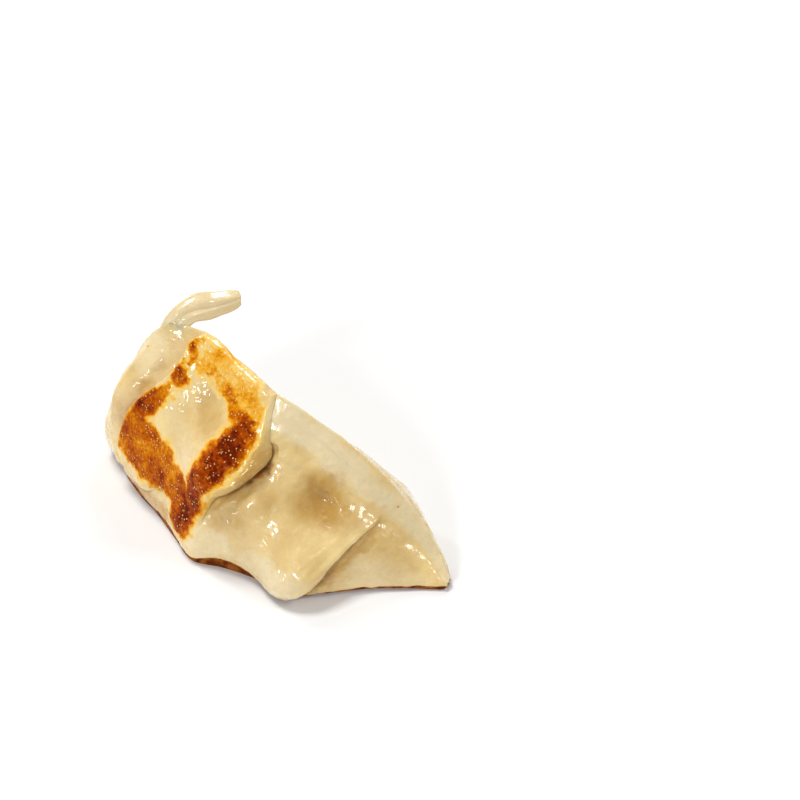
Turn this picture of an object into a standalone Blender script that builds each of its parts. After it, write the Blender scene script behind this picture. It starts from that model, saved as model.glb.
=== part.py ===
"""A pan-fried dumpling, standing on its browned foot with its sealed rim on top.

The wrapper is one solid. Its wall is lofted from the left tip to the right tip
through columns that run from the foot up the front, over the rim and down the
back. The front is pleated: a crisp, browned panel lies over both its
neighbours, and the middle panel laps over the right one. A tongue of loose rim
is joined on at the top.

The sizes below are millimetres and the model is metres. +X runs from the left
tip to the right tip, the pleated front faces -Y, +Z is up, and the origin is
under the middle of the dumpling, on the surface that it rests on.
"""
import bmesh
import bpy
import numpy as np

MM = 0.001

# The middle of the finished dumpling, in the coordinates of the curves below.
MIDDLE = np.array((-0.17, -1.98, 0.0))

# Curves along the wrapper. The first value of each row is the place along it,
# from the left tip (0) to the right tip (1).
RIM = (
    (0.0, -31.2, 0.6, 2.4), (0.08, -29.4, 0.6, 8.0), (0.16, -27.2, 0.8, 15.2), (0.23, -24.2, 1.2, 23.0),
    (0.31, -17.4, 2.4, 29.4), (0.36, -12.8, 2.6, 29.6), (0.45, -6.2, 1.2, 28.2), (0.60, 2.4, -0.3, 26.0),
    (0.70, 12.0, 2.0, 20.3), (0.81, 21.6, 4.0, 11.2), (0.91, 27.9, 3.3, 4.6), (1.0, 31.1, 0.9, 1.8),
)
FRONT_FOOT = (
    (0.0, -31.6, -0.3), (0.08, -30.6, -1.5), (0.16, -29.2, -2.6), (0.23, -27.8, -3.6), (0.31, -25.6, -5.3),
    (0.38, -20.8, -7.9), (0.45, -15.8, -9.9), (0.52, -9.8, -13.0), (0.59, -4.6, -15.3), (0.65, 0.2, -14.1),
    (0.71, 5.8, -13.4), (0.80, 12.2, -13.3), (0.84, 15.6, -10.6), (0.91, 22.6, -5.0), (1.0, 31.2, 0.0),
)
BACK_FOOT = (
    (0.0, -31.6, 1.2), (0.08, -30.8, 3.6), (0.16, -29.2, 6.0), (0.31, -21.5, 9.9), (0.5, -6.0, 11.4),
    (0.7, 10.0, 10.2), (0.85, 22.5, 6.4), (1.0, 31.2, 1.5),
)
# The way the wall faces, in degrees from straight ahead towards the right tip.
FACING = (
    (0.0, -78.0), (0.16, -62.0), (0.31, -42.0), (0.45, -28.0), (0.60, -12.0), (0.70, 2.0), (0.81, 16.0),
    (0.91, 30.0), (1.0, 62.0),
)

# The pleats. Heights run up the wall from the foot (0) to the rim (1). Each edge
# is the pleat's place along the wrapper by height, and each lip is how far the
# upper panel stands off the lower one there.
LEFT_EDGE = ((0.0, 0.31), (0.33, 0.312), (0.57, 0.329), (0.78, 0.357), (0.94, 0.352), (1.0, 0.368))
LEFT_LIP = ((0.0, 1.0), (0.25, 1.5), (0.6, 1.5), (0.85, 1.3), (1.0, 0.7))
CRISP_EDGE = ((0.0, 0.592), (0.2, 0.582), (0.38, 0.58), (0.54, 0.606), (0.7, 0.626), (0.82, 0.615), (1.0, 0.592))
CRISP_LIP = ((0.0, 0.3), (0.2, 0.4), (0.4, 1.7), (0.56, 3.4), (0.7, 2.5), (0.82, 1.0), (1.0, 0.8))
LAP_EDGE = ((0.0, 0.803), (0.3, 0.793), (0.56, 0.79), (0.8, 0.803), (1.0, 0.815))
LAP_LIP = ((0.0, 0.6), (0.22, 2.6), (0.45, 2.4), (0.65, 1.3), (0.83, 0.15), (1.0, 0.0))
CURL_DROP = (0.14, 0.5, 0.86)           # a lip's rounded edge: how far down it is,
CURL_REACH = (0.26, 0.40, 0.24)         # and how far it reaches over, in lip heights
OVERLAP = (0.1, 1.0, 1.0)               # how much of that reach each pleat has, left to right
GROUNDED = 0.12                         # nothing reaches over at the foot, below this height
CURL_SPACING = 0.0025                   # keeps the columns of a curl apart where its lip dies out

# The crisp panel's lower edge, the hem, overhangs the foot: its height by place,
# and how much of it each place has.
HEM_HEIGHT = (
    (0.0, 0.06), (0.24, 0.10), (0.31, 0.17), (0.36, 0.08), (0.41, 0.10), (0.46, 0.21), (0.51, 0.08), (0.56, 0.05),
    (1.0, 0.05),
)
HEM_SHARE = ((0.0, 0.0), (0.27, 0.0), (0.31, 0.9), (0.49, 1.0), (0.55, 0.0), (1.0, 0.0))
HEM_LEVEL = 0.1                         # a column's place at this height decides its hem
HEM_SPACING = 0.01                      # the height between the rows of the hem's rounded edge
HEM_DROOP = 1.2                         # how far that edge hangs down

# Soft swellings (+) and hollows (-) of the front: place, height, depth, reach
# along, reach up.
SWELLINGS = (
    (0.17, 0.70, 0.4, 0.10, 0.30),
    (0.275, 0.56, 1.2, 0.045, 0.18),
    (0.465, 0.66, -1.5, 0.070, 0.19),
    (0.728, 0.65, -1.9, 0.040, 0.12),
    (0.755, 0.38, 1.1, 0.05, 0.14),
    (0.645, 0.38, 0.9, 0.04, 0.16),
    (0.637, 0.58, -1.5, 0.024, 0.10),
)
# The flat sealed flange towards the right tip: the height where it starts, by
# place, how far the filled wall under it swells, and over how much height.
FLANGE_HEIGHT = ((0.6, 0.95), (0.68, 0.88), (0.74, 0.82), (0.81, 0.84), (0.87, 0.85), (0.93, 0.82), (1.0, 0.6))
FLANGE_STEP = 1.4
FLANGE_RISE = 0.08
FLANGE_START, FLANGE_RUN = 0.68, 0.1    # the place where the step begins, and how soon it is full

RIM_THICKNESS = 1.3
RIM_CROWN = 0.25                        # how far the middle of the rim's edge stands up
FRONT_BELLY, FRONT_SAG = 2.1, 0.75      # how far a wall swells out, and a power that is
BACK_BELLY, BACK_SAG = 2.8, 0.7         # below 1 as the fullest height is below the middle
FULL_HEIGHT = 14.0                      # the wrapper thins out where its rim is lower than this
FOOT_LIFT, TIP_LIFT = 0.9, 0.4          # the height of a wall's lower edge, and its share at the tips
FOOT_INSET, TIP_INSET = 0.3, 0.3        # how far inside that edge the flat foot ends, and its share there
ARCH_PLACE, ARCH_REACH = 0.655, 0.045   # where the front foot lifts off the surface
ARCH_LIFT, ARCH_INSET = 1.3, 0.4

PANEL_COLUMNS = (12, 14, 13, 12)
HEM_ROWS = 3
WALL_ROWS = 17
BACK_ROWS = 11
FOOT_ROWS = 3

# The tongue of loose rim: its outer and its inner edge, root first.
TONGUE_OUTER = (
    (0.0, -21.8, 2.2, 25.0), (0.15, -20.8, 2.9, 28.2), (0.3, -19.2, 4.0, 31.0), (0.5, -16.9, 5.6, 33.3),
    (0.7, -14.3, 6.5, 34.1), (0.9, -12.1, 8.3, 34.2), (1.0, -11.3, 9.2, 33.7),
)
TONGUE_INNER = (
    (0.0, -16.8, 2.2, 25.0), (0.15, -16.0, 2.8, 28.4), (0.3, -14.9, 3.5, 30.2), (0.5, -13.3, 4.3, 30.6),
    (0.7, -12.0, 5.4, 31.2), (0.9, -10.6, 7.0, 31.7), (1.0, -10.1, 8.1, 32.2),
)
TONGUE_THICKNESS = 1.3
TONGUE_GUTTER = 0.5                     # how far its middle sags between the two edges
TONGUE_ROWS, TONGUE_COLUMNS = 12, 5

SHARP_ANGLE = np.radians(60.0)
DOUGH_COLOUR = (0.72, 0.56, 0.30, 1.0)
DOUGH_ROUGHNESS = 0.3


def read_curve(rows, places):
    """Values at the places on the smooth curve through the rows, with no overshoot."""
    table = np.array(rows, dtype=float)
    knots, values = table[:, 0], table[:, 1:]
    gaps = np.diff(knots)[:, None]
    rises = np.diff(values, axis=0) / gaps
    slopes = np.zeros_like(values)
    slopes[0], slopes[-1] = rises[0], rises[-1]
    before, after = rises[:-1], rises[1:]
    same_way = before * after > 0.0
    weight_before, weight_after = 2 * gaps[1:] + gaps[:-1], gaps[1:] + 2 * gaps[:-1]
    parts = weight_before / np.where(same_way, before, 1.0) + weight_after / np.where(same_way, after, 1.0)
    slopes[1:-1] = np.where(same_way, (weight_before + weight_after) / parts, 0.0)
    places = np.clip(places, knots[0], knots[-1])
    left = np.clip(np.searchsorted(knots, places, side="right") - 1, 0, len(knots) - 2)
    gap = gaps[left]
    u = ((places - knots[left]) / gap[..., 0])[..., None]
    return (values[left] * (1 + 2 * u) * (1 - u) ** 2 + values[left + 1] * u * u * (3 - 2 * u)
            + gap * u * (1 - u) * (slopes[left] * (1 - u) - slopes[left + 1] * u))


def read_value(rows, places):
    """The same for a curve of single values."""
    return read_curve(rows, places)[..., 0]


def ease(u):
    """A smooth step from 0 to 1."""
    u = np.clip(u, 0.0, 1.0)
    return u * u * (3.0 - 2.0 * u)


def bell(distance):
    """A smooth hump, 1 in the middle."""
    return np.exp(-distance * distance)


def mix(a, b, share):
    """The point a share of the way from a to b."""
    return a + (b - a) * share[..., None]


def level(points, height):
    """Points (x, y) raised to a height."""
    return np.concatenate([points, np.broadcast_to(height, points.shape[:-1])[..., None]], axis=-1)


def facing(places, side):
    """Unit vectors straight out of the front wall (side -1) or the back wall (side 1)."""
    turn = np.radians(read_value(FACING, places))
    return np.stack([np.sin(turn), side * np.cos(turn), np.zeros_like(turn)], axis=-1)


def onward(places):
    """Unit vectors along the wall towards the right tip."""
    turn = np.radians(read_value(FACING, places))
    return np.stack([np.cos(turn), np.sin(turn), np.zeros_like(turn)], axis=-1)


def fullness(places):
    """How full the wrapper is: 1 in the middle, less towards the low tips."""
    return np.minimum(1.0, read_curve(RIM, places)[..., 2] / FULL_HEIGHT)


def towards_tips(share, places):
    """1 where the wrapper is full, and less towards the tips, where the share is left."""
    return share + (1.0 - share) * fullness(places)


def foot_edges(places, side):
    """The lower edge of the front wall (side -1) or back wall (side 1), and the flat foot's edge inside it."""
    arch = bell((places - ARCH_PLACE) / ARCH_REACH) if side < 0 else 0.0 * places
    lift = (FOOT_LIFT + ARCH_LIFT * arch) * towards_tips(TIP_LIFT, places)
    inset = (FOOT_INSET + ARCH_INSET * arch) * towards_tips(TIP_INSET, places)
    foot = read_curve(FRONT_FOOT if side < 0 else BACK_FOOT, places)
    return level(foot, lift), level(foot, 0.0 * lift) - facing(places, side) * inset[..., None]


def front_wall(places, heights, offsets, reaches):
    """Points of the front wall.

    The offsets lift them straight out of the plain wall, and the reaches push
    them along it.
    """
    out = facing(places, -1)
    top = read_curve(RIM, places) + out * (RIM_THICKNESS / 2)
    swell = FRONT_BELLY * np.sin(np.pi * heights ** FRONT_SAG)
    for place, height, depth, reach, rise in SWELLINGS:
        swell = swell + depth * bell((places - place) / reach) * bell((heights - height) / rise)
    under_flange = ease((read_value(FLANGE_HEIGHT, places) - heights) / FLANGE_RISE)
    under_flange = under_flange * ease((places - FLANGE_START) / FLANGE_RUN)
    swell = (swell + FLANGE_STEP * under_flange) * fullness(places) + offsets
    wall = mix(foot_edges(places, -1)[0], top, heights)
    return wall + out * swell[..., None] + onward(places) * reaches[..., None]


def back_wall(places, heights):
    """Points of the smooth back wall."""
    out = facing(places, 1)
    top = read_curve(RIM, places) + out * (RIM_THICKNESS / 2)
    swell = BACK_BELLY * np.sin(np.pi * heights ** BACK_SAG) * fullness(places)
    return mix(foot_edges(places, 1)[0], top, heights) + out * swell[..., None]


def panel_columns():
    """The front's columns, left to right.

    Each is (panel, share across it, curl step or None): a curl step belongs to
    the rounded lip at the panel's right edge.
    """
    columns = []
    for panel, count in enumerate(PANEL_COLUMNS):
        shares = np.linspace(0.0, 1.0, count)
        columns += [(panel, share, None) for share in (shares + ease(shares)) / 2]
        if panel < len(PANEL_COLUMNS) - 1:
            columns += [(panel, 1.0, step) for step in range(len(CURL_DROP))]
    return columns


def column_shape(column, heights):
    """The places, offsets and reaches of one column of the front at the heights."""
    panel, share, step = column
    zero, one = np.zeros_like(heights), np.ones_like(heights)
    left_lip, crisp_lip, lap_lip = (read_value(lip, heights) for lip in (LEFT_LIP, CRISP_LIP, LAP_LIP))
    starts = (zero, left_lip, zero, zero)           # how far each panel stands out at its left edge
    ends = (zero, crisp_lip, lap_lip, zero)         # and at its right edge
    edges = [zero, *(read_value(edge, heights) for edge in (LEFT_EDGE, CRISP_EDGE, LAP_EDGE)), one]
    half_curl = CURL_SPACING * (len(CURL_DROP) + 1) / 2
    left = edges[panel] + (half_curl if panel > 0 else 0.0)
    right = edges[panel + 1] - (half_curl if panel < len(PANEL_COLUMNS) - 1 else 0.0)
    if step is None:
        return left + (right - left) * share, starts[panel] + (ends[panel] - starts[panel]) * ease(share), zero
    lip = ends[panel] - starts[panel + 1]           # negative where the panel to the right is the upper one
    places = right + CURL_SPACING * (step + 1)
    reach = lip * CURL_REACH[step] * OVERLAP[panel] * ease(heights / GROUNDED)
    return places, ends[panel] - lip * CURL_DROP[step], reach


def front_column(column):
    """The points of one column of the front wall, from the foot up to the rim."""
    hem_place = column_shape(column, np.array([HEM_LEVEL]))[0]
    hem = read_value(HEM_HEIGHT, hem_place)[0]
    share = read_value(HEM_SHARE, hem_place)[0]
    steps = len(CURL_DROP)
    half_curl = HEM_SPACING * (steps + 1) / 2
    below = np.linspace(0.0, hem - half_curl, HEM_ROWS)
    curl = np.linspace(hem - half_curl, hem + half_curl, steps + 2)[1:-1]
    above = np.linspace(hem + half_curl, 1.0, WALL_ROWS)
    kept = 1.0 - share * np.concatenate([np.ones(HEM_ROWS), CURL_DROP[::-1], np.zeros(WALL_ROWS)])
    places, offsets, reaches = column_shape(column, np.concatenate([below, curl, above]))
    points = front_wall(places, np.concatenate([below, curl, above]), offsets * kept, reaches * kept)
    points[HEM_ROWS:-WALL_ROWS, 2] -= np.array(CURL_REACH) * share * HEM_DROOP
    return points


def ring(column):
    """One closed ring of the wrapper: up the front, down the back, along the foot."""
    front = front_column(column)
    foot_place = column_shape(column, np.array([0.0]))[0]
    rim_place = column_shape(column, np.array([1.0]))[0]
    heights = np.linspace(1.0, 0.0, BACK_ROWS)
    back = back_wall(np.full(BACK_ROWS, rim_place[0]), heights)
    crown = (front[-1] + back[0]) / 2 + np.array([0.0, 0.0, RIM_CROWN])
    flat_front = foot_edges(foot_place, -1)[1][0]
    flat_back = foot_edges(rim_place, 1)[1][0]
    shares = np.linspace(0.0, 1.0, FOOT_ROWS)
    foot = flat_back + (flat_front - flat_back) * shares[:, None]
    return np.concatenate([front, crown[None], back, foot])


def make_object(name, build, collection):
    """A new object in the collection, whose mesh the build function fills."""
    mesh = bpy.data.meshes.new(name)
    shape = bmesh.new()
    build(shape)
    shape.to_mesh(mesh)
    shape.free()
    made = bpy.data.objects.new(name, mesh)
    collection.objects.link(made)
    return made


def add_grid(shape, points, closed=False):
    """Vertices and faces over a grid of points; closed joins each row's ends."""
    rows = [[shape.verts.new((p - MIDDLE) * MM) for p in row] for row in points]
    width = len(rows[0])
    for row, following in zip(rows, rows[1:]):
        for i in range(width if closed else width - 1):
            j = (i + 1) % width
            shape.faces.new((row[i], following[i], following[j], row[j]))
    return rows


def build_wrapper(shape):
    """The filled wrapper: a loft of rings with a cap at each tip."""
    rings = add_grid(shape, [ring(column) for column in panel_columns()], closed=True)
    for tip, backwards in ((rings[0], False), (rings[-1], True)):
        middle = shape.verts.new(sum((vert.co for vert in tip), start=tip[0].co * 0.0) / len(tip))
        for i, vert in enumerate(tip):
            corners = (vert, tip[(i + 1) % len(tip)], middle)
            shape.faces.new(corners[::-1] if backwards else corners)
    bmesh.ops.recalc_face_normals(shape, faces=shape.faces)


def build_tongue(shape):
    """The middle sheet of the tongue, sagging between its edges like a gutter."""
    shares = np.linspace(0.0, 1.0, TONGUE_ROWS)
    outer, inner = read_curve(TONGUE_OUTER, shares), read_curve(TONGUE_INNER, shares)
    along = np.gradient((outer + inner) / 2, axis=0)
    sideways = np.cross(inner - outer, along)
    sideways /= np.linalg.norm(sideways, axis=1)[:, None]
    points = []
    for across in np.linspace(0.0, 1.0, TONGUE_COLUMNS):
        sag = TONGUE_GUTTER * np.sin(np.pi * across)
        points.append(outer + (inner - outer) * across - sideways * sag)
    add_grid(shape, points)
    bmesh.ops.recalc_face_normals(shape, faces=shape.faces)


def dough():
    """The steamed dough's material."""
    material = bpy.data.materials.new("dough")
    material.use_nodes = True
    shader = material.node_tree.nodes["Principled BSDF"]
    shader.inputs["Base Color"].default_value = DOUGH_COLOUR
    shader.inputs["Roughness"].default_value = DOUGH_ROUGHNESS
    return material


def main():
    """Build the dumpling."""
    for old in list(bpy.data.objects):
        bpy.data.objects.remove(old)
    collection = bpy.data.collections.new("gyoza_dumpling")
    cutters = bpy.data.collections.new("cutters")
    for new in (collection, cutters):
        bpy.context.scene.collection.children.link(new)

    tongue = make_object("tongue_form", build_tongue, cutters)
    thicken = tongue.modifiers.new("thickness", "SOLIDIFY")
    thicken.thickness = TONGUE_THICKNESS * MM
    thicken.offset = 0.0
    tongue.hide_render = True
    tongue.display_type = "WIRE"

    dumpling = make_object("dumpling", build_wrapper, collection)
    join = dumpling.modifiers.new("tongue", "BOOLEAN")
    join.operation = "UNION"
    join.solver = "EXACT"
    join.object = tongue
    dumpling.data.materials.append(dough())
    dumpling.data.shade_smooth()
    dumpling.data.set_sharp_from_angle(angle=SHARP_ANGLE)


main()
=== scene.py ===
"""A pan-fried gyoza dumpling on a plain pale floor.

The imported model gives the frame: its box, its one node and its one body. The
wrapper is made here again as a fine surface, on the same curves, with the
wrinkles, blisters, cut edges and browning that a real one has, and it replaces
the plain solid. Lengths in the classes are millimetres, and the scene is in
metres.
"""
import logging
import math
from dataclasses import dataclass, field
from enum import Enum

import bpy
import numpy as np
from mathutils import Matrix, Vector, noise


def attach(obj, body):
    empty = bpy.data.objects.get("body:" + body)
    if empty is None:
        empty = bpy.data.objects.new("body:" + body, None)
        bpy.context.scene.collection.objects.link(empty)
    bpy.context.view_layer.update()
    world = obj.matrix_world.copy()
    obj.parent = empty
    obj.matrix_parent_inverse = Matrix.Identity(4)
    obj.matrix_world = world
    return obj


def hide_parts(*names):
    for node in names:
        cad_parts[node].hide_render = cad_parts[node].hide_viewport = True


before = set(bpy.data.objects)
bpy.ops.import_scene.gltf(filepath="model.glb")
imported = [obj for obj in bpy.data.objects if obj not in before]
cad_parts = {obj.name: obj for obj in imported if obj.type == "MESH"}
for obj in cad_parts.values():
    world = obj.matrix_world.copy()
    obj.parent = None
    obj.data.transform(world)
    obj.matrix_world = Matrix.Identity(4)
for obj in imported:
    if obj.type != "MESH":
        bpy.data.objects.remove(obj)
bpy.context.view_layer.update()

MM = 0.001
NODE = "dumpling"
BODY = "root"
LOG = logging.getLogger("gyoza")

# How much a height counts beside a place, in finding a point of the front.
HEIGHT_WEIGHT = 0.4

# A dot's middle part that is full, as a share of its radius, and how sharply dots are left out.
DOT_CORE = 0.6
DOT_CUT = 0.05

# The middle of the dumpling's box, in the millimetre coordinates of the curves below.
MIDDLE = np.array((-0.17, -1.98, 0.0))

Rows = tuple[tuple[float, ...], ...]
# A column of the front: its panel, how far across that it is, and how far round the lip, if on one.
Column = tuple[int, float, float | None]
Colour = tuple[float, float, float]
Step = tuple[float, float]


def ease(u: np.ndarray) -> np.ndarray:
    """A smooth step from 0 to 1."""
    u = np.clip(u, 0.0, 1.0)
    return u * u * (3.0 - 2.0 * u)


def bell(distance: np.ndarray) -> np.ndarray:
    """A smooth hump, 1 in the middle."""
    return np.exp(-distance * distance)


def tint(red: int, green: int, blue: int) -> Colour:
    """A linear colour from the 0 to 255 values of a colour card."""
    return tuple((c / 12.92 if c <= 0.04045 else ((c + 0.055) / 1.055) ** 2.4)
                 for c in (red / 255, green / 255, blue / 255))


@dataclass(frozen=True)
class Curve:
    """A smooth curve through rows of numbers, whose first number is the place along it."""

    rows: Rows

    def at(self, places: np.ndarray) -> np.ndarray:
        """Read the curve at many places at once, with no overshoot between rows.

        Args:
            places: Places along the curve, in an array of any shape.

        Returns:
            The other numbers of the rows at those places, along a new last axis.
        """
        table = np.array(self.rows, dtype=float)
        knots, values = table[:, 0], table[:, 1:]
        gaps = np.diff(knots)[:, None]
        rises = np.diff(values, axis=0) / gaps
        slopes = np.zeros_like(values)
        slopes[0], slopes[-1] = rises[0], rises[-1]
        before, after = rises[:-1], rises[1:]
        same_way = before * after > 0.0
        heavy, light = 2 * gaps[1:] + gaps[:-1], gaps[1:] + 2 * gaps[:-1]
        parts = heavy / np.where(same_way, before, 1.0) + light / np.where(same_way, after, 1.0)
        slopes[1:-1] = np.where(same_way, (heavy + light) / parts, 0.0)
        places = np.clip(places, knots[0], knots[-1])
        left = np.clip(np.searchsorted(knots, places, side="right") - 1, 0, len(knots) - 2)
        gap = gaps[left]
        u = ((places - knots[left]) / gap[..., 0])[..., None]
        return (values[left] * (1 + 2 * u) * (1 - u) ** 2 + values[left + 1] * u * u * (3 - 2 * u)
                + gap * u * (1 - u) * (slopes[left] * (1 - u) - slopes[left + 1] * u))

    def value(self, places: np.ndarray) -> np.ndarray:
        """The first number of the rows at those places."""
        return self.at(places)[..., 0]


class Panel(Enum):
    """The parts of the pleated front, left to right."""

    LOBE = 0
    CRISP = 1
    MIDDLE = 2
    RIGHT = 3


@dataclass(frozen=True)
class Pleat:
    """A fold of the front, where one panel lies over the next.

    The edge is its place along the wrapper by height, and the lip how far the
    upper panel stands off the lower one. Overlap is how far the lip reaches
    over, and groove how deep the lower panel dips beside it, both in lips.
    """

    edge: Curve
    lip: Curve
    overlap: float
    groove: float


@dataclass(frozen=True)
class Swelling:
    """A soft bump (+) or hollow (-) in a wall, by place and height."""

    place: float
    height: float
    depth: float
    along: float
    up: float

    def at(self, places: np.ndarray, heights: np.ndarray) -> np.ndarray:
        """How far it lifts the wall at those places and heights."""
        near = bell((places - self.place) / self.along) * bell((heights - self.height) / self.up)
        return self.depth * near


@dataclass(frozen=True)
class Stroke:
    """Something that lies along a line on the front: a browned streak, a stain or a crease.

    The line's points are (place, height, radius in millimetres, strength).
    Soft is the width of its blurred edge, as a share of the radius.
    """

    points: Rows
    soft: float = 0.95

    def at(self, surface: np.ndarray, where: np.ndarray) -> np.ndarray:
        """How strongly the stroke covers each point of the surface.

        Args:
            surface: Points in millimetres, shape (n, 3).
            where: The stroke's own points in millimetres, shape (m, 3).

        Returns:
            The cover of each point.
        """
        cover = np.zeros(len(surface))
        sizes = np.array([point[2:] for point in self.points])
        if len(where) == 1:
            where, sizes = np.repeat(where, 2, axis=0), np.repeat(sizes, 2, axis=0)
        for start, end, first, last in zip(where, where[1:], sizes, sizes[1:]):
            line = end - start
            share = np.clip((surface - start) @ line / max(line @ line, 1e-9), 0.0, 1.0)
            distance = np.linalg.norm(surface - start - share[:, None] * line, axis=1)
            radius, strength = (first + (last - first) * share[:, None]).T
            reached = strength * ease((1.0 - distance / radius) / self.soft + 0.5)
            cover = np.where(np.abs(reached) > np.abs(cover), reached, cover)
        return cover


class Side(Enum):
    """Where on the dumpling a point lies."""

    FRONT = 0
    EDGE = 1
    BACK = 2
    FOOT = 3
    TONGUE = 4


class Look(Enum):
    """What the finish finds stored at each point, from 0 to 1."""

    TOAST = "toast"
    # The filling's tan and the fried foot's brown also both carry painted shade.
    BASE = "base"
    FILLING = "filling"
    PALE = "pale"
    THIN = "thin"
    BUBBLED = "bubbled"


@dataclass
class Skin:
    """A closed surface: its points in millimetres, where each lies on the wrapper, and its faces."""

    points: np.ndarray
    places: np.ndarray
    heights: np.ndarray
    sides: np.ndarray
    faces: list[tuple[int, ...]]

    def where(self, stroke: Stroke) -> np.ndarray:
        """The points of a stroke, on the front of this surface.

        Args:
            stroke: The stroke, by place and height.

        Returns:
            Its points in millimetres.
        """
        front = self.sides == Side.FRONT.value
        places, heights, points = self.places[front], self.heights[front], self.points[front]
        near = [np.argmin((places - place) ** 2 + (HEIGHT_WEIGHT * (heights - height)) ** 2)
                for place, height, *_ in stroke.points]
        return points[near]

    def joined(self, other: "Skin") -> "Skin":
        """Join another surface to this one.

        Args:
            other: The other surface.

        Returns:
            Both, as one surface.
        """
        shift = len(self.points)
        faces = self.faces + [tuple(corner + shift for corner in face) for face in other.faces]
        return Skin(*(np.concatenate(pair) for pair in (
            (self.points, other.points), (self.places, other.places), (self.heights, other.heights),
            (self.sides, other.sides))), faces)


@dataclass
class Wrapper:
    """The folded, filled and fried wrapper.

    Its wall is a loft of columns, from the left tip to the right tip. A column
    runs from the foot up the pleated front, over the rim, down the back and
    along the foot.
    """

    # By place: the rim, both edges of the foot, and the way that the wall faces, in degrees.
    rim: Curve = Curve((
        (0.0, -31.2, 0.6, 2.4), (0.08, -29.4, 0.6, 8.0), (0.16, -27.2, 0.8, 15.2), (0.23, -24.2, 1.2, 23.0),
        (0.31, -17.4, 2.4, 29.4), (0.36, -12.8, 2.6, 29.6), (0.45, -6.2, 1.2, 28.2), (0.60, 2.4, -0.3, 26.0),
        (0.70, 12.0, 2.0, 20.3), (0.81, 21.6, 4.0, 11.2), (0.91, 27.9, 3.3, 4.6), (1.0, 31.1, 0.9, 1.8),
    ))
    front_foot: Curve = Curve((
        (0.0, -31.6, -0.3), (0.08, -30.6, -1.5), (0.16, -29.2, -2.6), (0.23, -27.8, -3.6),
        (0.31, -25.6, -5.3), (0.38, -20.8, -7.9), (0.45, -15.8, -9.9), (0.52, -9.8, -13.0),
        (0.59, -4.6, -15.3), (0.65, 0.2, -14.1), (0.71, 5.8, -13.4), (0.80, 12.2, -13.3),
        (0.84, 15.6, -10.6), (0.91, 22.6, -5.0), (1.0, 31.2, 0.0),
    ))
    back_foot: Curve = Curve((
        (0.0, -31.6, 1.2), (0.08, -30.8, 3.6), (0.16, -29.2, 6.0), (0.31, -21.5, 9.9), (0.5, -6.0, 11.4),
        (0.7, 10.0, 10.2), (0.85, 22.5, 6.4), (1.0, 31.2, 1.5),
    ))
    facing: Curve = Curve((
        (0.0, -78.0), (0.16, -62.0), (0.31, -42.0), (0.45, -28.0), (0.60, -12.0), (0.70, 2.0), (0.81, 16.0),
        (0.91, 30.0), (1.0, 62.0),
    ))
    pleats: tuple[Pleat, ...] = (
        Pleat(
            edge=Curve(((0.0, 0.31), (0.2, 0.311), (0.33, 0.312), (0.44, 0.318), (0.57, 0.329), (0.68, 0.344),
                        (0.78, 0.357), (0.87, 0.358), (0.94, 0.352), (0.97, 0.355), (1.0, 0.368))),
            lip=Curve(((0.0, 1.0), (0.25, 1.5), (0.6, 1.5), (0.85, 1.3), (1.0, 0.7))),
            overlap=0.15,
            groove=0.2,
        ),
        Pleat(
            edge=Curve(((0.0, 0.592), (0.2, 0.582), (0.38, 0.580), (0.54, 0.606), (0.7, 0.626), (0.82, 0.615),
                        (1.0, 0.592))),
            lip=Curve(((0.0, 0.0), (0.2, 0.05), (0.40, 1.6), (0.56, 3.6), (0.7, 2.5), (0.82, 0.8), (0.9, 0.5),
                       (1.0, 0.7))),
            overlap=1.1,
            groove=0.35,
        ),
        Pleat(
            edge=Curve(((0.0, 0.803), (0.3, 0.793), (0.44, 0.787), (0.56, 0.790), (0.7, 0.796), (0.8, 0.803),
                        (1.0, 0.815))),
            lip=Curve(((0.0, 0.6), (0.22, 2.6), (0.45, 2.4), (0.65, 1.3), (0.83, 0.15), (1.0, 0.0))),
            overlap=1.0,
            groove=0.45,
        ),
    )

    # The lips' rounded edges, which flatten out towards the foot, and the grooves beside them.
    curl_reach: float = 0.4
    curl_spacing: float = 0.005
    curl_roundness: float = 0.8
    grounded: float = 0.12
    groove_reach: float = 0.022

    # The hem: the crisp panel's lower edge, by place, and how much of the panel's step it takes up.
    hem_height: Curve = Curve((
        (0.0, 0.06), (0.24, 0.10), (0.31, 0.17), (0.36, 0.08), (0.41, 0.10), (0.46, 0.21), (0.51, 0.08),
        (0.56, 0.05), (1.0, 0.05),
    ))
    hem_share: Curve = Curve(((0.0, 0.0), (0.27, 0.0), (0.31, 0.9), (0.49, 1.0), (0.55, 0.0), (1.0, 0.0)))
    hem_level: float = 0.1
    hem_spacing: float = 0.006
    hem_droop: float = 0.5

    front_swellings: tuple[Swelling, ...] = (
        Swelling(0.17, 0.70, 0.4, 0.10, 0.30),
        Swelling(0.275, 0.56, 1.2, 0.045, 0.18),
        Swelling(0.465, 0.66, -1.5, 0.070, 0.19),
        Swelling(0.728, 0.65, -2.3, 0.033, 0.10),
        Swelling(0.755, 0.38, 1.2, 0.05, 0.14),
        Swelling(0.645, 0.38, 0.9, 0.04, 0.16),
        Swelling(0.632, 0.62, -0.9, 0.020, 0.10),
        Swelling(0.655, 0.50, 0.9, 0.020, 0.08),
    )
    back_swellings: tuple[Swelling, ...] = (
        Swelling(0.33, 0.42, 1.0, 0.09, 0.24),
        Swelling(0.45, 0.62, -0.8, 0.035, 0.30),
        Swelling(0.56, 0.36, 0.8, 0.06, 0.22),
        Swelling(0.66, 0.60, -0.9, 0.035, 0.26),
        Swelling(0.76, 0.38, 0.8, 0.06, 0.22),
    )
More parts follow.
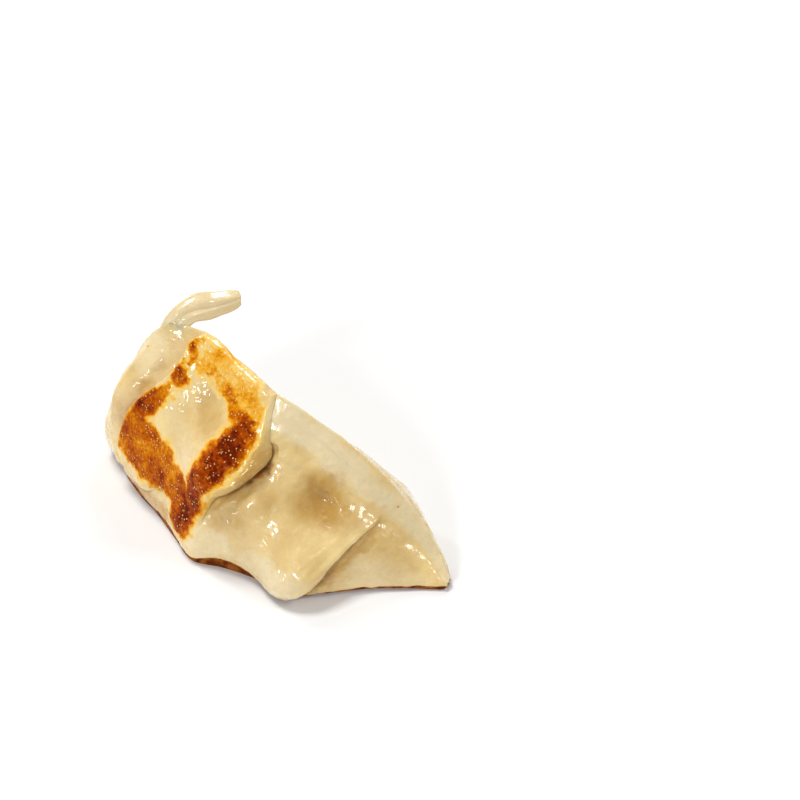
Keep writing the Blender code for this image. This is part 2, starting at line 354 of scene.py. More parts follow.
    # The flat sealed flanges under the rim: at the right, on the lobe and on the back.
    flange_height: Curve = Curve(((0.6, 0.95), (0.68, 0.88), (0.74, 0.82), (0.81, 0.84), (0.87, 0.85),
                                  (0.93, 0.82), (1.0, 0.6)))
    flange_step: float = 1.5
    flange_rise: float = 0.08
    flange_start: float = 0.68
    flange_run: float = 0.1
    lobe_flange_height: float = 0.9
    lobe_flange_step: float = 0.5
    lobe_flange_rise: float = 0.07
    lobe_end: float = 0.3
    lobe_run: float = 0.06
    back_flange_height: float = 0.84
    back_flange_step: float = 0.8
    back_flange_rise: float = 0.1

    # Sharp ridges (+) and dents (-), with their depth in millimetres as the strength.
    relief: tuple[Stroke, ...] = (
        Stroke(((0.743, 0.53, 0.3, 0.10), (0.744, 0.48, 0.35, 0.16), (0.749, 0.43, 0.4, 0.2),
                (0.762, 0.44, 0.4, 0.2), (0.771, 0.53, 0.35, 0.16), (0.777, 0.64, 0.3, 0.1)), soft=1.2),
        Stroke(((0.719, 0.46, 0.35, 0.12), (0.735, 0.43, 0.4, 0.14)), soft=1.2),
        Stroke(((0.643, 0.56, 0.5, 0.2), (0.630, 0.50, 0.55, 0.35), (0.622, 0.44, 0.55, 0.35),
                (0.609, 0.35, 0.5, 0.2)), soft=1.2),
        Stroke(((0.645, 0.96, 0.4, 0.15), (0.684, 0.955, 0.45, 0.2), (0.716, 0.95, 0.45, 0.2),
                (0.76, 0.94, 0.4, 0.15)), soft=1.2),
        Stroke(((0.268, 0.93, 0.4, 0.2), (0.255, 0.80, 0.45, 0.25), (0.243, 0.62, 0.45, 0.25),
                (0.24, 0.40, 0.4, 0.2)), soft=1.2),
        Stroke(((0.442, 0.70, 0.5, 0.15), (0.461, 0.69, 0.5, 0.2), (0.467, 0.65, 0.5, 0.15)), soft=1.2),
        Stroke(((0.667, 0.83, 0.8, -0.25), (0.701, 0.80, 0.8, -0.3), (0.747, 0.79, 0.8, -0.3),
                (0.79, 0.81, 0.7, -0.25)), soft=1.4),
    )
    pocket: Stroke = Stroke(((0.628, 0.74, 1.0, -0.6), (0.622, 0.66, 1.5, -2.5), (0.615, 0.60, 1.6, -2.8),
                             (0.606, 0.53, 1.4, -1.6), (0.596, 0.45, 1.0, -0.7)), soft=1.2)

    # The rim's edge, and the bellies of both walls. A sag below 1 sets a belly below the middle.
    rim_thickness: float = 1.3
    crown: Curve = Curve(((0.0, 0.4), (0.28, 0.4), (0.33, 0.12), (0.59, 0.12), (0.62, 0.45), (0.8, 0.4),
                          (1.0, 0.3)))
    crown_squareness: float = 3.0
    front_belly: float = 2.1
    back_belly: float = 2.8
    front_sag: float = 0.75
    back_sag: float = 0.7
    full_height: float = 14.0

    # The walls' lower edges stand a little off the floor, outside the flat foot, and less so at the
    # tips. The arch is where the front stands higher, and the heel is the hollow between the two.
    foot_lift: float = 0.9
    foot_inset: float = 0.15
    tip_lift: float = 0.4
    tip_inset: float = 0.3
    arch_place: float = 0.655
    arch_reach: float = 0.045
    arch_lift: float = 1.3
    arch_inset: float = 0.1
    heel_rows: int = 6
    heel_hollow: float = 0.25

    # How finely the surface is divided.
    panel_columns: tuple[int, ...] = (64, 88, 92, 78)
    curl_columns: int = 11
    below_rows: int = 12
    hem_rows: int = 8
    above_rows: int = 124
    crown_rows: int = 7
    back_rows: int = 62
    foot_rows: int = 18

    def out(self, places: np.ndarray, side: int) -> np.ndarray:
        """Unit vectors straight out of the front (side -1) or the back (side 1)."""
        turn = np.radians(self.facing.value(places))
        return np.stack([np.sin(turn), side * np.cos(turn), np.zeros_like(turn)], axis=-1)

    def onward(self, places: np.ndarray) -> np.ndarray:
        """Unit vectors along the wall, towards the right tip."""
        turn = np.radians(self.facing.value(places))
        return np.stack([np.cos(turn), np.sin(turn), np.zeros_like(turn)], axis=-1)

    def fullness(self, places: np.ndarray) -> np.ndarray:
        """How full the wrapper is: 1 in the middle, less towards the low tips."""
        return np.minimum(1.0, self.rim.at(places)[..., 2] / self.full_height)

    def foot_edges(self, places: np.ndarray, side: int) -> tuple[np.ndarray, np.ndarray]:
        """The lower edge of a wall, and the edge of the flat foot inside it.

        Args:
            places: Places along the wrapper.
            side: -1 for the front, 1 for the back.

        Returns:
            The points of both edges.
        """
        full = self.fullness(places)
        arch = bell((places - self.arch_place) / self.arch_reach) if side < 0 else np.zeros_like(places)
        lift = (self.foot_lift + self.arch_lift * arch) * (self.tip_lift + (1.0 - self.tip_lift) * full)
        inset = (self.foot_inset + self.arch_inset * arch) * (self.tip_inset + (1.0 - self.tip_inset) * full)
        foot = (self.front_foot if side < 0 else self.back_foot).at(places)
        lifted = np.concatenate([foot, lift[..., None]], axis=-1)
        flat = np.concatenate([foot, 0.0 * lift[..., None]], axis=-1)
        return lifted, flat - self.out(places, side) * inset[..., None]

    def front_wall(self, places: np.ndarray, heights: np.ndarray, offsets: np.ndarray,
                   reaches: np.ndarray) -> np.ndarray:
        """Points of the front wall.

        Args:
            places: Places along the wrapper.
            heights: Heights up the wall, from the foot (0) to the rim (1).
            offsets: How far each point stands out of the plain wall.
            reaches: How far each point is pushed along the wall.

        Returns:
            The points, in millimetres.
        """
        out = self.out(places, -1)
        top = self.rim.at(places) + out * (self.rim_thickness / 2)
        swell = self.front_belly * np.sin(np.pi * heights ** self.front_sag)
        for swelling in self.front_swellings:
            swell = swell + swelling.at(places, heights)
        right = (ease((self.flange_height.value(places) - heights) / self.flange_rise)
                 * ease((places - self.flange_start) / self.flange_run))
        left = (ease((self.lobe_flange_height - heights) / self.lobe_flange_rise)
                * ease((self.lobe_end - places) / self.lobe_run))
        swell = swell + self.flange_step * right + self.lobe_flange_step * left
        swell = swell * self.fullness(places) + offsets
        foot = self.foot_edges(places, -1)[0]
        wall = foot + (top - foot) * heights[..., None]
        return wall + out * swell[..., None] + self.onward(places) * reaches[..., None]

    def back_wall(self, places: np.ndarray, heights: np.ndarray) -> np.ndarray:
        """Points of the smooth back wall.

        Args:
            places: Places along the wrapper.
            heights: Heights up the wall, from the foot (0) to the rim (1).

        Returns:
            The points, in millimetres.
        """
        out = self.out(places, 1)
        top = self.rim.at(places) + out * (self.rim_thickness / 2)
        swell = self.back_belly * np.sin(np.pi * heights ** self.back_sag)
        for swelling in self.back_swellings:
            swell = swell + swelling.at(places, heights)
        under = ease((self.back_flange_height - heights) / self.back_flange_rise)
        swell = swell + self.back_flange_step * (under - 1.0) * heights
        foot = self.foot_edges(places, 1)[0]
        wall = foot + (top - foot) * heights[..., None]
        return wall + out * (swell * self.fullness(places))[..., None]

    def columns(self) -> list[Column]:
        """The columns, left to right.

        Returns:
            For each one its panel, its share of the way across the panel, and
            for those of a lip's rounded edge the share of the way round it.
        """
        columns = []
        for panel, count in zip(Panel, self.panel_columns):
            shares = np.linspace(0.0, 1.0, count)
            columns += [(panel.value, share, None) for share in (2.0 * shares + ease(shares)) / 3.0]
            if panel is not Panel.RIGHT:
                rounds = np.linspace(0.0, 1.0, self.curl_columns + 2)[1:-1]
                columns += [(panel.value, 1.0, share) for share in rounds]
        return columns

    def column_shape(self, column: Column,
                     heights: np.ndarray) -> tuple[np.ndarray, np.ndarray, np.ndarray]:
        """The places, offsets and reaches of one column of the front.

        Args:
            column: The column, as columns() gives it.
            heights: Heights up the wall.

        Returns:
            Three arrays as long as the heights.
        """
        panel, share, round_share = column
        zero = np.zeros_like(heights)
        lips = [pleat.lip.value(heights) for pleat in self.pleats]
        starts = (zero, lips[0], zero, zero)
        ends = (zero, lips[1], lips[2], zero)
        edges = [zero, *(pleat.edge.value(heights) for pleat in self.pleats), zero + 1.0]
        left = edges[panel] + (self.curl_spacing if panel > 0 else 0.0)
        right = edges[panel + 1] - (self.curl_spacing if panel < len(self.pleats) else 0.0)
        if round_share is None:
            places = left + (right - left) * share
            offsets = starts[panel] + (ends[panel] - starts[panel]) * ease(share)
            # The crisp panel lies over both neighbours, and the middle panel over the right one.
            for index, pleat in enumerate(self.pleats):
                lower = panel == (index if index == 0 else index + 1)
                if lower:
                    dip = bell((places - edges[index + 1]) / self.groove_reach)
                    offsets = offsets - pleat.groove * lips[index] * dip
            return places, offsets, zero
        pleat = self.pleats[panel]
        high, low = ends[panel], starts[panel + 1]
        grooved = pleat.groove * lips[panel]
        high, low = (high - grooved, low) if panel == 0 else (high, low - grooved)
        lip = high - low
        reach = lip * self.curl_reach * pleat.overlap * math.sin(math.pi * round_share) ** self.curl_roundness
        reach = reach * ease(heights / self.grounded)
        drop = (1.0 - math.cos(math.pi * round_share)) / 2.0
        places = right + 2.0 * self.curl_spacing * round_share
        return places, high - lip * drop, reach

    def front_column(self, column: Column) -> tuple[np.ndarray, np.ndarray, np.ndarray]:
        """One column of the front, from the foot up to the rim.

        Args:
            column: The column, as columns() gives it.

        Returns:
            Its points, and the place and the height of each.
        """
        hem_place = self.column_shape(column, np.array([self.hem_level]))[0]
        hem = self.hem_height.value(hem_place)[0]
        share = self.hem_share.value(hem_place)[0]
        half = self.hem_spacing * (self.hem_rows + 1) / 2
        below = np.linspace(0.0, hem - half, self.below_rows)
        rounds = np.linspace(0.0, 1.0, self.hem_rows + 2)
        curl = (hem - half + 2.0 * half * rounds)[1:-1]
        above = np.linspace(hem + half, 1.0, self.above_rows)
        rise = ((1.0 - np.cos(np.pi * rounds)) / 2.0)[1:-1]
        heights = np.concatenate([below, curl, above])
        kept = 1.0 - share * np.concatenate([np.ones(self.below_rows), 1.0 - rise, np.zeros(self.above_rows)])
        places, offsets, reaches = self.column_shape(column, heights)
        points = self.front_wall(places, heights, offsets * kept, reaches * kept)
        points[self.below_rows:-self.above_rows, 2] -= np.sin(np.pi * rounds[1:-1]) * share * self.hem_droop
        return points, places, heights

    def ring(self, column: Column) -> np.ndarray:
        """One closed column all the way round.

        Args:
            column: The column, as columns() gives it.

        Returns:
            Rows of x, y, z, place, height and side.
        """
        front, places, heights = self.front_column(column)
        place = places[-1]
        back_heights = np.linspace(1.0, 0.0, self.back_rows)
        back = self.back_wall(np.full(self.back_rows, place), back_heights)
        shares = np.linspace(0.0, 1.0, self.crown_rows + 2)[1:-1, None]
        rounded = 1.0 - np.abs(2.0 * shares - 1.0) ** self.crown_squareness
        bulge = self.crown.value(np.array([place]))[0] * rounded
        crown = front[-1] + (back[0] - front[-1]) * shares + bulge * np.array([0.0, 0.0, 1.0])
        flat_front = self.foot_edges(places[:1], -1)[1][0]
        flat_back = self.foot_edges(np.array([place]), 1)[1][0]
        foot_shares = np.linspace(0.0, 1.0, self.foot_rows)[:, None]
        foot = flat_back + (flat_front - flat_back) * foot_shares
        heel_shares = np.linspace(0.0, 1.0, self.heel_rows + 2)[1:-1, None]
        hollow = self.heel_hollow * np.sin(np.pi * heel_shares)
        heel = flat_front + (front[0] - flat_front) * heel_shares - self.out(places[:1], -1) * hollow
        sides = (
            (front, places, heights, Side.FRONT),
            (crown, np.full(len(crown), place), np.ones(len(crown)), Side.EDGE),
            (back, np.full(len(back), place), back_heights, Side.BACK),
            (foot, np.full(len(foot), place), np.zeros(len(foot)), Side.FOOT),
            (heel, np.full(len(heel), place), np.zeros(len(heel)), Side.FOOT),
        )
        return np.concatenate([np.column_stack([points, where, high, np.full(len(points), side.value)])
                               for points, where, high, side in sides])

    def skin(self) -> Skin:
        """Loft the whole wrapper.

        Returns:
            Its closed surface.
        """
        rings = np.array([self.ring(column) for column in self.columns()])
        count, around, _ = rings.shape
        tips = [np.mean(rings[end], axis=0) for end in (0, -1)]
        rows = np.concatenate([rings.reshape(-1, 6), tips])
        index = np.arange(count * around).reshape(count, around)
        turned = np.roll(index, -1, axis=1)
        quads = np.stack([index[:-1], turned[:-1], turned[1:], index[1:]], axis=-1).reshape(-1, 4)
        faces = [tuple(quad) for quad in quads.tolist()]
        left, right = count * around, count * around + 1
        faces += [(left, b, a) for a, b in zip(index[0].tolist(), turned[0].tolist())]
        faces += [(right, a, b) for a, b in zip(index[-1].tolist(), turned[-1].tolist())]
        return Skin(rows[:, :3] - MIDDLE, rows[:, 3], rows[:, 4], rows[:, 5], faces)


@dataclass
class Tongue:
    """The loose flap of dough that sticks up and to the right from the left end of the rim.

    It is a strip between two curves, thin at its edges, with folds along it.
    The curves start inside the wrapper's rim.
    """

    outer: Curve = Curve((
        (0.0, -22.4, 2.0, 24.6), (0.15, -21.3, 2.3, 28.0), (0.3, -19.4, 3.7, 31.1), (0.5, -16.9, 5.6, 33.3),
        (0.7, -14.3, 6.5, 34.1), (0.9, -12.1, 8.3, 34.2), (1.0, -11.3, 9.2, 33.7),
    ))
    inner: Curve = Curve((
        (0.0, -17.0, 2.0, 25.0), (0.15, -16.4, 2.2, 28.4), (0.3, -15.1, 3.1, 30.2), (0.5, -13.3, 4.3, 30.6),
        (0.7, -12.0, 5.4, 31.2), (0.9, -10.6, 7.0, 31.7), (1.0, -10.1, 8.1, 32.2),
    ))
    folds: tuple[tuple[float, float, float], ...] = (
        (0.14, 0.20, 0.09), (0.36, -0.25, 0.12), (0.55, 0.30, 0.06), (0.74, -0.12, 0.10), (0.90, 0.15, 0.06),
    )
    fold_start: float = 0.1
    fold_run: float = 0.3
    fold_fade: float = 0.6
    fold_sway: float = 0.05
    fold_turns: tuple[float, float] = (5.0, 9.0)
    thickness: float = 0.8
    thinnest: float = 0.02
    edge_squareness: float = 8.0
    tip_squareness: float = 40.0
    gutter: float = 0.5
    gutter_run: float = 0.4
    rows: int = 110
    columns: int = 44

    def skin(self) -> Skin:
        """Make the flap.

        Returns:
            Its closed surface.
        """
        along = np.linspace(0.0, 1.0, self.rows)
        across = np.linspace(0.0, 1.0, self.columns)
        outer, inner = self.outer.at(along), self.inner.at(along)
        middle = outer[:, None] + (inner - outer)[:, None] * across[None, :, None]
        normal = np.cross(np.gradient(middle, axis=0), np.gradient(middle, axis=1))
        normal /= np.linalg.norm(normal, axis=-1, keepdims=True)
        wave = -self.gutter * np.sin(np.pi * across)[None, :] * ease(along / self.gutter_run)[:, None]
        by_length, by_place = self.fold_turns
        for place, depth, reach in self.folds:
            drift = place + self.fold_sway * np.sin(by_length * along + by_place * place)
            fade = ease((along - self.fold_start) / self.fold_run) * (1.0 - self.fold_fade * along)
            wave = wave + (depth * fade)[:, None] * bell((across[None, :] - drift[:, None]) / reach)
        middle = middle + normal * wave[..., None]
        edge = np.sqrt(np.clip(1.0 - np.abs(2.0 * across - 1.0) ** self.edge_squareness, self.thinnest, 1.0))
        tip = np.sqrt(np.clip(1.0 - along ** self.tip_squareness, self.thinnest, 1.0))
        thick = self.thickness / 2 * edge[None, :] * tip[:, None]
        top, under = middle + normal * thick[..., None], middle - normal * thick[..., None]
        ring = np.concatenate([top, under[:, ::-1]], axis=1)
        count, around, _ = ring.shape
        index = np.arange(count * around).reshape(count, around)
        turned = np.roll(index, -1, axis=1)
        faces = np.stack([index[:-1], index[1:], turned[1:], turned[:-1]], axis=-1).reshape(-1, 4).tolist()
        half = around // 2
        for end, flip in ((0, 1), (-1, -1)):
            row = index[end].tolist()
            faces += [(row[i], row[i + 1], row[-2 - i], row[-1 - i])[::flip] for i in range(half - 1)]
        flat = np.zeros(count * around)
        return Skin(ring.reshape(-1, 3) - MIDDLE, np.repeat(along, around), flat,
                    np.full_like(flat, Side.TONGUE.value), [tuple(face) for face in faces])


@dataclass(frozen=True)
class Grain:
    """Unevenness of one size: its spacing and its depth in millimetres."""

    spacing: float
    depth: float

    def at(self, points: np.ndarray) -> np.ndarray:
        """How far it lifts each of those points."""
        scaled = points / self.spacing + self.spacing
        return self.depth * np.array([noise.noise(Vector(point)) for point in scaled.tolist()])


@dataclass(frozen=True)
class Browning:
    """Where the pan has browned the wrapper, where its colour differs otherwise, and where shade is painted
    in hollows and creases.
    """

    toast: tuple[Stroke, ...] = (
        # The gold band behind the cut edge, its brown patch near the top and its darker inner side.
        Stroke(((0.350, 0.95, 2.3, 0.42), (0.40, 0.94, 2.7, 0.26), (0.46, 0.94, 2.8, 0.23),
                (0.52, 0.92, 2.8, 0.26), (0.565, 0.90, 2.6, 0.28), (0.592, 0.91, 2.2, 0.26))),
        Stroke(((0.366, 0.93, 1.2, 0.62), (0.370, 0.89, 1.0, 0.52))),
        Stroke(((0.400, 0.91, 1.0, 0.36), (0.45, 0.89, 1.0, 0.42), (0.51, 0.87, 1.2, 0.46),
                (0.555, 0.82, 1.5, 0.52))),
        # The round brown spot, and the dark band curving down from it.
        Stroke(((0.370, 0.795, 1.7, 0.70), (0.378, 0.765, 1.7, 0.70))),
        Stroke(((0.372, 0.68, 1.3, 0.58), (0.358, 0.61, 2.1, 0.70), (0.345, 0.54, 2.4, 0.72),
                (0.336, 0.46, 2.3, 0.68), (0.328, 0.36, 2.1, 0.60), (0.328, 0.27, 1.6, 0.5))),
        # The amber field at the lower left.
        Stroke(((0.345, 0.42, 2.4, 0.60), (0.388, 0.42, 2.4, 0.52), (0.43, 0.40, 2.3, 0.50),
                (0.475, 0.40, 1.9, 0.50))),
        Stroke(((0.335, 0.30, 2.0, 0.50), (0.38, 0.30, 2.6, 0.58), (0.43, 0.29, 2.6, 0.60),
                (0.48, 0.30, 2.2, 0.58))),
        Stroke(((0.352, 0.27, 1.8, 0.60), (0.385, 0.215, 1.6, 0.62), (0.42, 0.22, 1.5, 0.64),
                (0.462, 0.25, 1.4, 0.62), (0.50, 0.27, 1.5, 0.6))),
        # The broad dark streak beside the cut edge's right corner.
        Stroke(((0.577, 0.83, 1.7, 0.62), (0.581, 0.78, 2.6, 0.78), (0.582, 0.72, 3.1, 0.84),
                (0.581, 0.64, 3.1, 0.86), (0.571, 0.55, 2.8, 0.80), (0.556, 0.42, 2.7, 0.78),
                (0.545, 0.30, 2.6, 0.80), (0.540, 0.20, 2.5, 0.78), (0.542, 0.13, 2.1, 0.64))),
        Stroke(((0.50, 0.36, 1.9, 0.54), (0.52, 0.30, 2.0, 0.62), (0.516, 0.20, 1.8, 0.66),
                (0.524, 0.12, 1.8, 0.66))),
        Stroke(((0.583, 0.90, 2.2, 0.30), (0.604, 0.86, 2.0, 0.30), (0.604, 0.80, 1.5, 0.28),
                (0.598, 0.74, 1.3, 0.32))),
    )
    spared: tuple[Stroke, ...] = (
        Stroke(((0.521, 0.40, 0.5, 0.6), (0.512, 0.44, 0.45, 0.5))),
        Stroke(((0.425, 0.61, 2.2, 1.0), (0.45, 0.72, 2.5, 1.0), (0.475, 0.66, 2.9, 1.0),
                (0.495, 0.58, 2.1, 1.0), (0.505, 0.51, 1.2, 1.0)), soft=0.5),
    )
    # Tan where the filling shows through the dough, and painted shade in the strokes marked below.
    filling: tuple[Stroke, ...] = (
        # The dimple: partly the filling's tan, partly painted shade in the hollow.
        Stroke(((0.722, 0.66, 3.2, 1.0), (0.745, 0.68, 3.0, 1.0), (0.708, 0.60, 2.8, 0.7)), soft=1.5),
        Stroke(((0.66, 0.64, 3.0, 0.1), (0.68, 0.54, 3.6, 0.35), (0.65, 0.43, 3.6, 0.4)), soft=1.5),
        Stroke(((0.47, 0.76, 2.6, 0.35), (0.50, 0.70, 2.2, 0.4)), soft=1.2),
        # The pocket under the crisp panel's lip: partly the filling's tan, partly painted shade.
        Stroke(((0.612, 0.58, 1.5, 0.9), (0.619, 0.66, 1.7, 1.0), (0.625, 0.74, 1.3, 0.6)), soft=0.9),
        Stroke(((0.86, 0.62, 3.2, 0.4), (0.90, 0.55, 2.4, 0.3)), soft=1.5),
        Stroke(((0.610, 0.82, 1.4, 0.4), (0.612, 0.74, 2.3, 0.9), (0.606, 0.64, 2.4, 1.0),
                (0.596, 0.54, 1.8, 0.8)), soft=1.0),
        # Painted shade on the low wall under the crisp panel's hem.
        Stroke(((0.36, 0.03, 1.6, 0.9), (0.43, 0.05, 1.8, 0.9), (0.48, 0.06, 1.8, 0.9)), soft=0.8),
        Stroke(((0.285, 0.60, 3.4, 0.3), (0.292, 0.38, 2.6, 0.35)), soft=1.5),
        Stroke(((0.63, 0.36, 2.4, 0.35), (0.60, 0.30, 2.0, 0.4)), soft=1.2),
        # Painted shade in the crease beside the middle panel's lip, on the right panel.
        Stroke(((0.817, 0.80, 0.9, 0.6), (0.814, 0.55, 1.1, 0.7), (0.811, 0.30, 1.1, 0.9),
                (0.812, 0.10, 0.9, 0.8)), soft=1.2),
        # Painted shade in the crease under the crisp panel's left edge, on the lobe.
        Stroke(((0.318, 0.80, 0.8, 0.5), (0.303, 0.45, 0.9, 0.7), (0.30, 0.25, 0.9, 0.7)), soft=1.2),
    )
    pale: tuple[Stroke, ...] = (
        Stroke(((0.625, 0.95, 2.4, 1.0), (0.68, 0.93, 2.4, 1.0), (0.74, 0.91, 2.0, 0.9),
                (0.79, 0.92, 1.5, 0.7))),
        Stroke(((0.73, 0.14, 2.8, 0.8), (0.78, 0.20, 2.4, 0.8), (0.69, 0.12, 2.0, 0.6)), soft=0.9),
        Stroke(((0.39, 0.64, 1.6, 0.2), (0.43, 0.58, 1.8, 0.3), (0.47, 0.55, 1.8, 0.5),
                (0.50, 0.55, 1.4, 0.5)), soft=1.4),
        Stroke(((0.86, 0.38, 2.4, 0.45), (0.90, 0.36, 2.2, 0.45), (0.94, 0.34, 1.8, 0.4)), soft=1.4),
        Stroke(((0.30, 0.86, 1.8, 0.5), (0.285, 0.76, 2.0, 0.5)), soft=1.4),
        Stroke(((0.60, 0.10, 2.4, 0.8), (0.64, 0.14, 2.0, 0.7), (0.56, 0.12, 2.0, 0.8)), soft=0.8),
    )

    # Painted shade in dull brown: in the pocket beside the crisp panel, where it is partly a real brown
    # stain, and in the crease at the right.
    shade_and_stains: tuple[Stroke, ...] = (
        Stroke(((0.644, 0.69, 1.0, 0.3), (0.642, 0.62, 1.6, 0.46), (0.630, 0.55, 1.6, 0.40),
                (0.613, 0.48, 1.1, 0.28)), soft=1.8),
        Stroke(((0.806, 0.12, 0.5, 0.2), (0.798, 0.28, 0.6, 0.2)), soft=1.4),
    )

    # Fine blisters with little colour: on the crisp panel's lip and at the foot of the middle panel.
    bubbled: tuple[Stroke, ...] = (
        Stroke(((0.607, 0.84, 1.2, 0.6), (0.612, 0.74, 1.9, 1.0), (0.606, 0.62, 2.2, 1.0),
                (0.594, 0.50, 1.8, 1.0))),
        Stroke(((0.600, 0.38, 1.6, 0.6), (0.620, 0.30, 2.0, 0.7), (0.612, 0.20, 1.8, 0.6))),
        Stroke(((0.42, 0.66, 2.6, 0.5), (0.47, 0.72, 2.6, 0.5))),
        Stroke(((0.30, 0.55, 2.0, 0.3), (0.305, 0.40, 1.8, 0.4))),
    )

    # Raggedness: spacings, and how far the edges stray from their lines at each, in millimetres.
    sway: tuple[tuple[float, float], ...] = ((3.2, 1.0), (1.1, 0.6), (0.5, 0.3))
    sway_shift: float = 37.0

    # Where the crust ends at the crisp panel's two pleats, in places along the wrapper.
    left_gap: float = 0.004
    left_blur: float = 0.012
    right_gap: float = 0.001
    right_blur: float = 0.006
    top_margin: float = 0.005
    top_start: float = 0.62
    top_run: float = 0.15

    def cover(self, strokes: tuple[Stroke, ...], skin: Skin) -> np.ndarray:
        """Lay strokes on the front and on the rim.

        Args:
            strokes: The strokes.
            skin: The surface.

        Returns:
            The strongest cover that any of them gives each point.
        """
        cover = np.zeros(len(skin.points))
        wanted = skin.sides <= Side.EDGE.value
        points = skin.points[wanted] + self.wander(skin.points[wanted])
        for stroke in strokes:
            cover[wanted] = np.maximum(cover[wanted], stroke.at(points, skin.where(stroke)))
        return cover

    def wander(self, points: np.ndarray) -> np.ndarray:
        """Make the browning's edges ragged.

        Args:
            points: Points in millimetres.

        Returns:
            How far the edges stray from their lines there, along each axis.
        """
        moved = np.zeros_like(points)
        for spacing, reach in self.sway:
            for axis in range(3):
                moved[:, axis] += Grain(spacing, reach).at(points + self.sway_shift * (axis + 1))
        return moved


@dataclass(frozen=True)
class FriedFoot:
    """The brown line above the foot, which stands higher towards both ends, in millimetres."""

    height: float = 0.6
    left_rise: float = 0.8
    right_rise: float = 0.5
    left_end: float = 0.56
    left_run: float = 0.06
    right_start: float = 0.74
    right_run: float = 0.05
    blur: float = 0.25
    ragged: tuple[Grain, ...] = (Grain(1.6, 0.3), Grain(5.0, 0.35))

    def at(self, skin: Skin) -> np.ndarray:
        """Fry the foot.

        Args:
            skin: The surface.

        Returns:
            1 below the line and on the foot, 0 above it, for each point.
        """
        left = ease((self.left_end - skin.places) / self.left_run)
        right = ease((skin.places - self.right_start) / self.right_run)
        line = self.height + self.left_rise * left + self.right_rise * right
        line = line + sum(grain.at(skin.points) for grain in self.ragged)
        return np.where(skin.sides == Side.FOOT.value, 1.0, ease((line - skin.points[:, 2]) / self.blur))


@dataclass(frozen=True)
class ThinRim:
    """How far the see-through dough reaches down from the rim, by height and by place."""

    rise: float = 0.06
    start: float = 0.76
    run: float = 0.06
    lobe_rise: float = 0.05
    lobe_run: float = 0.04
    lobe_share: float = 0.8
    back_share: float = 0.5

    def at(self, skin: Skin, wrapper: Wrapper) -> np.ndarray:
        """Find where the dough is thin.

        Args:
            skin: The surface.
            wrapper: The wrapper, which knows its flanges.

        Returns:
            1 on the tongue, and less on the rim's flat flanges, for each point.
        """
        line = wrapper.flange_height.value(skin.places)
        flange = ease((skin.heights - line) / self.rise) * ease((skin.places - self.start) / self.run)
        lobe = (ease((skin.heights - wrapper.lobe_flange_height) / self.lobe_rise)
                * ease((wrapper.lobe_end - skin.places) / self.lobe_run))
        thin = np.maximum(flange, self.lobe_share * lobe)
        thin = np.where(skin.sides == Side.BACK.value, self.back_share * thin, thin)
        return np.where(skin.sides == Side.TONGUE.value, 1.0, thin)


